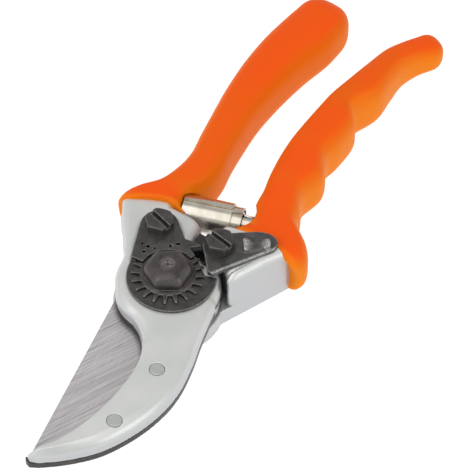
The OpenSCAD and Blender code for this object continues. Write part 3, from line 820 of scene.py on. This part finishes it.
def lock_plate(x, y, z):
    r = np.hypot(x, y)
    d = plate_outline(x, y)
    base = slab(d, z, TOP_Z, 19.45, 0.15, 0.3)
    land = smax(d + 0.1, plate_land(x, y), 0.4)
    land = smax(land, np.abs(z - 20.0) - 1.0, 0.3)
    land = smax(land, np.minimum(12.1 - r, 20.46 - z), 0.05)
    for a, b, size in PITS:
        land = smax(land, size - near((a, b), x, y) + 0.15 * np.sin(5 * x + 4 * y), 0.1)
    f = smin(base, land, 0.25)
    f = smax(f, 9.15 - r, 0.2)
    return smax(f, 2.45 - near(LOCK_SCREW, x, y), 0.3)


catch_line = joined(
    [(10.6, 6.8), (12.2, 6.9), (22.8, 26.3)],
    curve([(22.8, 26.3), (22.6, 28.7), (20.6, 30.4), (17.5, 30.6), (14, 29)], 8),
    [(5.4, 22), (3.2, 14.6)],
)
catch_shape = outline_field(catch_line, pad=8)


def chamfer_plane(x, y, z):
    """The bevel along the catch's long lower edge."""
    side = ((x - 12.2) * 19.4 - (y - 6.9) * 10.6) / math.hypot(19.4, 10.6)
    return (side + 0.5 + (z - CATCH_Z[1])) * 0.707


# Painted highlight: a light line along the bevel, added to the rubbed-edge mark.
def catch_chamfer_highlight(x, y, z):
    return smoothstep(0.12, 0.04, np.abs(chamfer_plane(x, y, z)))


def thumb_catch(x, y, z):
    d = smin(catch_shape(x, y), near(CATCH_SCREW, x, y) - 5.2, 0.8)
    f = smax(slab(d, z, *CATCH_Z, 0.15, 0.2), chamfer_plane(x, y, z), 0.1)
    along = (x - 17.4) * 0.783 + (y - 24.4) * 0.623
    across = (y - 24.4) * 0.783 - (x - 17.4) * 0.623
    crest = 22.75 + 0.85 * np.clip(along / 3.6, -1, 1) ** 2 - 0.06 * across ** 2
    ridge = smax(np.abs(across) - 2.3 + 0.12 * along, np.abs(along) - 4.4, 1.2)
    f = smin(f, smax(smax(ridge, z - crest, 0.6), 20.6 - z, 0.1), 0.5)
    return smax(f, 2.46 - near(CATCH_SCREW, x, y), 0.25)


edge_line = curve([(13, -22), (15.2, -30), (16.4, -38), (16.5, -47), (15.2, -57), (12, -66.5), (8, -73),
                   (4.2, -76.8)])
blade_shape = outline_field(joined(
    [(2.2, -75.8), (-12.4, -12)], arc(16.7, 222, 92, 60), arc(17.35, 84, 36, 24), arc(16.7, 32, -50, 40),
    [(13, -16)], edge_line))
ground = line_field(np.vstack([edge_line, [(2.6, -78.6)]]))


def cutting_blade(x, y, z):
    d = blade_shape(x, y)
    bevel = (10.05 - 0.678 * ground(x, y) - z) * 0.828
    f = slab(d, z, HEAD_Z, 10.45, 0.15, 0.14)
    f = smax(f, np.where(y < -21, bevel, -1.0), 0.1)
    f = smax(f, 5.77 - np.hypot(x, y), 0.2)
    return smax(f, 2.43 - near((9, 11.5), x, y), 0.2)


counter_inner = curve([(a - 0.8 * math.sin(math.pi * (b + 24.8) / -53.8), b) for a, b in HOOK_INNER])
counter_shape = outline_field(joined(
    arc(BOSS_R, 180, 228), curve(THROAT), counter_inner, [(2.5, -78.4), (3.2, -79.3), (4.8, -79.8)],
    curve(HOOK_OUTER), arc(BOSS_R - 1, 8, 172)))


def counter_blade(x, y, z):
    f = slab(counter_shape(x, y), z, 10.5, JAW_Z, 0.12, 0.15)
    f = smax(f, 3.82 - np.maximum(np.abs(x), np.abs(y)), 0.15)
    for at in RIVETS:
        f = smax(f, 2.43 - near(at, x, y), 0.1)
    return f


def rivets(x, y, z):
    d = np.minimum(near(RIVETS[0], x, y), near(RIVETS[1], x, y)) - RIVET_R
    return slab(d, z, 10.55, 18.6, 0.1, 0.25)


bumper_shape = outline_field(joined([(-1.3, 13.9), (1, 13.9), (1.3, 16), (1.5, 18.3), (1.6, 20.4),
                                     (0.6, 21.4), (-2.9, 21.4), (-2.1, 17.4)]), step=0.1)


def rubber_bumper(x, y, z):
    groove = 0.28 * np.maximum(0, np.cos(2 * math.pi * (z - 8) / 2.0)) ** 3
    f = slab(bumper_shape(x, y) + groove, z, 6, 17.3, 0.4, 0.5)
    return smax(f, -np.maximum(np.hypot(x, y) - 18.62, z - 13.02), 0.2)


PIECES = [
    ("hook_forging", hook_handle, (-33.5, -80, 0.8), (27.8, 113, 18.8), 0.42, ALUMINIUM, "hook_side",
     "forged_aluminium", "hook_handle"),
    ("blade_forging", blade_handle, (-18.2, -18.2, 0.7), (29, 123, 20.5), 0.42, ALUMINIUM, "blade_side",
     "forged_aluminium", "blade_handle"),
    ("left_grip", hook_grip, (-36.5, 12, -0.4), (-4, 134, 21.2), 0.5, ORANGE, "hook_side",
     "orange_grip", "hook_grip"),
    ("right_grip", blade_grip, (-4, 20, -0.4), (33, 143, 21.2), 0.5, ORANGE, "blade_side",
     "orange_grip", "blade_grip"),
    ("bolt", pivot_bolt, (-8.6, -8.6, 0), (8.6, 8.6, 26), 0.2, DARK, "hook_side", "dark_steel",
     "pivot_bolt"),
    ("toothed_nut", pivot_nut, (-12.2, -12.2, 19.8), (12.2, 12.2, 26), 0.16, NUT, "hook_side",
     "dark_steel", "pivot_nut"),
    ("lock_teardrop", lock_plate, (-21, -14.5, 18.3), (16, 21, 21.2), 0.17, DARK, "hook_side",
     "dark_steel", "lock_plate"),
    ("lock_screw", slotted_screw(LOCK_SCREW, 13.5, TOP_Z, 21.0, 2.4, -14), (-18.8, 9, 13.4),
     (-8.4, 19.4, 24.4), 0.16, DARK, "hook_side", "dark_steel", "lock_plate_screw"),
    ("catch_pivot_screw", slotted_screw(CATCH_SCREW, 12.2, 20.2, 22.5, 1.6, -8), (2.6, 12.3, 12),
     (13, 22.7, 25.9), 0.16, DARK, "blade_side", "dark_steel", "catch_screw"),
    ("catch_lever", thumb_catch, (2.4, 6.5, 20.2), (23.2, 31, 23.8), 0.17, CATCH, "catch", "dark_steel",
     "thumb_catch"),
    ("blade", cutting_blade, (-17.5, -77.5, 6.8), (17.5, 17.6, 10.6), 0.3, BLADE, "blade_side",
     "blade_steel", "cutting_blade"),
    ("counter_plate", counter_blade, (-17.5, -80.2, 10.3), (28, 16.5, 13.2), 0.3, GROUND, "hook_side",
     "dark_steel", "counter_blade"),
    ("jaw_rivets", rivets, (16, -57.5, 10.4), (21.8, -29, 18.8), 0.2, RIVET, "hook_side", "rivet_metal",
     "counter_blade_rivets"),
    ("bumper", rubber_bumper, (-3.2, 13.6, 5.8), (2, 21.6, 17.5), 0.16, RUBBER, "hook_side",
     "black_rubber", "rubber_bumper"),
]


def with_edges(ob, f, reach, around, far, painted_highlight_band=None):
    """Marks convex edges, painted highlight bands and nooks on a mesh: the edges for wear and painted
    sheen, the nooks for painted shade.
    """
    me = ob.data
    co, no = np.empty(len(me.vertices) * 3), np.empty(len(me.vertices) * 3)
    me.vertices.foreach_get("co", co)
    me.vertices.foreach_get("normal", no)
    p, n = co.reshape(-1, 3) / MM, no.reshape(-1, 3)
    edge = np.clip(1 + f(*(p - n * reach).T) / reach, 0, 1)
    # Painted highlight bands are put into the edge mark.
    if painted_highlight_band:
        edge = np.maximum(edge, painted_highlight_band(*p.T))
    # Painted shade: the nearer other parts lie off the surface, the darker the nook mark makes the colour.
    painted_nook_shade = np.clip(1 - around(*(p + n * far).T) / far, 0, 1)
    for name, value in (("edge", edge), ("painted_nook_shade", painted_nook_shade)):
        me.attributes.new(name, "FLOAT", "POINT").data.foreach_set("value", value.astype(np.float32))


def lock_stack(x, y, z):
    return np.minimum(np.minimum(pivot_bolt(x, y, z), pivot_nut(x, y, z)), lock_plate(x, y, z))


def metal(x, y, z):
    forgings = np.minimum(hook_handle(x, y, z), blade_handle(x, y, z))
    blades = np.minimum(cutting_blade(x, y, z), counter_blade(x, y, z))
    return np.minimum(np.minimum(forgings, lock_plate(x, y, z)), blades)


for name, f, lo, hi, h, material, body, slot, node in PIECES:
    piece = solid(name, f, lo, hi, h, material)
    if material is ORANGE:
        with_edges(piece, f, 3.0, f, 3.0)
    elif material in (ALUMINIUM, BLADE, GROUND):
        with_edges(piece, f, 0.9, metal, 2.2)
    elif f in (pivot_bolt, pivot_nut, lock_plate):
        with_edges(piece, lock_stack, 0.3, lock_stack, 0.8, plate_rim_highlight if f is lock_plate else None)
    elif f is thumb_catch:
        with_edges(piece, f, 0.5, f, 0.5, catch_chamfer_highlight)
    else:
        with_edges(piece, f, 0.5, f, 0.5)
    finished(piece, body, slot, node)

# ---------------------------------------------------------------- volute spring


def volute_spring():
    """A rolled strip: three sleeves that narrow outwards, with their seam on the upper side."""
    turns, per_turn, across, wall = 3.0, 72, 15, 0.72
    left, right, starts = (-4.0, -4.2, -4.2), (20.4, 15.6, 12.2), (0.8, 2.0)
    seam = math.radians(84)
    rows, winding = [], []
    for i in range(int(turns * per_turn) + 1):
        t = i / per_turn
        fade = [smoothstep(q, q + 0.03, t) for q in starts]
        a = left[0] + (left[1] - left[0]) * fade[0] + (left[2] - left[1]) * fade[1]
        b = right[0] + (right[1] - right[0]) * fade[0] + (right[2] - right[1]) * fade[1]
        r = 2.75 + 0.2 * min(t, 0.8) + 1.24 * smoothstep(0.8, 1.0, t) + 0.85 * max(t - 1, 0)
        angle = seam + 2 * math.pi * t
        s = np.linspace(a, b, across)
        outer = [(q, (r + wall / 2) * math.cos(angle), (r + wall / 2) * math.sin(angle)) for q in s]
        inner = [(q, (r - wall / 2) * math.cos(angle), (r - wall / 2) * math.sin(angle)) for q in s[::-1]]
        rows.append(outer + inner)
        winding.append(t / turns)
    n = len(rows[0])
    side = np.array([-AXIS[1], AXIS[0]])
    verts = [
        (SPRING_AT[0] + q * AXIS[0] + v * side[0],
         SPRING_AT[1] + q * AXIS[1] + v * side[1],
         SPRING_Z + SPRING_LIFT + w)
        for row in rows for q, v, w in row
    ]
    faces = [
        (i * n + j, i * n + (j + 1) % n, (i + 1) * n + (j + 1) % n, (i + 1) * n + j)
        for i in range(len(rows) - 1) for j in range(n)
    ]
    faces += [(j, n - 1 - j, n - 2 - j, j + 1) for j in range(across - 1)]
    e = (len(rows) - 1) * n
    faces += [(e + j, e + j + 1, e + n - 2 - j, e + n - 1 - j) for j in range(across - 1)]
    ob = mesh_object("volute_spring", verts, faces, NICKEL)
    for kind, value in (("edge", 0.0), ("painted_nook_shade", 0.0)):
        ob.data.attributes.new(kind, "FLOAT", "POINT").data.foreach_set(
            "value", np.full(len(ob.data.vertices), value, np.float32))
    ob.data.set_sharp_from_angle(angle=math.radians(40))
    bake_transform(ob)
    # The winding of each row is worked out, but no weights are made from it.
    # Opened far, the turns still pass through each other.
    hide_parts("main_spring")
    return ob


volute_spring()

# ---------------------------------------------------------------- CAD pieces that stay


def dressed(node, material):
    """Gives a CAD piece its material."""
    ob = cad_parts[node]
    ob.data.materials.clear()
    ob.data.materials.append(material)


for node in ("pivot_washer", "hook_spring_peg", "pivot_bush", "blade_spring_peg"):
    dressed(node, BRIGHT)
for node in ("blade_screw", "catch_washer"):
    dressed(node, DARK)

# ---------------------------------------------------------------- floor, light and camera

FLOOR_HALF, FLOOR_DROP, FLOOR_GLOW, SKY_LIGHT = 3.0, 2e-4, 0.95, 0.6
# Soft round lights: place and width in metres, power in watts. All point at LIT.
LIT = (0, 0.03, 0.01)
LIGHTS = {
    "over": ((-0.1, -0.35, 1.1), 1.2, 3.7),
    "front": ((-0.45, -0.9, 0.62), 0.85, 1.8),
    "side": ((1.08, 0.04, 0.5), 0.7, 2.1),
}
# Camera: turn and rise in degrees, lens and sensor in millimetres, the rest in metres
CAMERA_TURN, CAMERA_RISE, CAMERA_FAR = 35, 51, 1.0
CAMERA_LENS, CAMERA_SENSOR = 241.277, 36
PIVOT_HIGH, PIVOT_LEFT, PIVOT_BELOW = 0.021, 0.02127, 0.011746


def area_light(name, at, size, power):
    """Round soft light at a place, pointing at the object."""
    light = bpy.data.lights.new(name, "AREA")
    light.shape, light.size, light.energy = "DISK", size, power
    ob = bpy.data.objects.new(name, light)
    bpy.context.scene.collection.objects.link(ob)
    ob.location = Vector(at)
    ob.rotation_euler = (Vector(LIT) - Vector(at)).to_track_quat("-Z", "Y").to_euler()


def floor():
    """Pale floor that glows a little, just under the object."""
    me = bpy.data.meshes.new("floor")
    s, z = FLOOR_HALF, -FLOOR_DROP
    me.from_pydata([(-s, -s, z), (s, -s, z), (s, s, z), (-s, s, z)], [], [(0, 1, 2, 3)])
    mat = bpy.data.materials.new("pale_floor")
    mat.use_nodes = True
    shader = mat.node_tree.nodes["Principled BSDF"]
    shader.inputs["Base Color"].default_value = (0.2, 0.2, 0.2, 1)
    shader.inputs["Roughness"].default_value = 0.9
    shader.inputs["Specular IOR Level"].default_value = 0.0
    shader.inputs["Emission Color"].default_value = (1, 1, 1, 1)
    shader.inputs["Emission Strength"].default_value = FLOOR_GLOW
    me.materials.append(mat)
    ob = bpy.data.objects.new("floor", me)
    bpy.context.scene.collection.objects.link(ob)


def studio():
    """White surroundings and the three lights."""
    world = bpy.data.worlds.new("studio")
    world.use_nodes = True
    world.node_tree.nodes["Background"].inputs["Color"].default_value = (1, 1, 1, 1)
    world.node_tree.nodes["Background"].inputs["Strength"].default_value = SKY_LIGHT
    bpy.context.scene.world = world
    for name, (at, size, power) in LIGHTS.items():
        area_light(name, at, size, power)
    bpy.context.scene.view_settings.view_transform = "Standard"


def camera():
    """Long lens, seen from the jaw side and above; the pivot is left of and below the middle."""
    turn, rise = math.radians(CAMERA_TURN), math.radians(CAMERA_RISE)
    back = Vector((math.sin(turn) * math.cos(rise), -math.cos(turn) * math.cos(rise), math.sin(rise)))
    right = Vector((math.cos(turn), math.sin(turn), 0))
    up = back.cross(right)
    place = Vector((0, 0, PIVOT_HIGH)) + back * CAMERA_FAR + right * PIVOT_LEFT + up * PIVOT_BELOW
    cam = bpy.data.cameras.new("camera")
    cam.sensor_width, cam.lens = CAMERA_SENSOR, CAMERA_LENS
    cam.clip_start, cam.clip_end = 0.05, 20
    ob = bpy.data.objects.new("camera", cam)
    bpy.context.scene.collection.objects.link(ob)
    ob.matrix_world = Matrix.Translation(place) @ Matrix((
        (right.x, up.x, back.x, 0), (right.y, up.y, back.y, 0), (right.z, up.z, back.z, 0), (0, 0, 0, 1)))
    bpy.context.scene.camera = ob


floor()
studio()
camera()
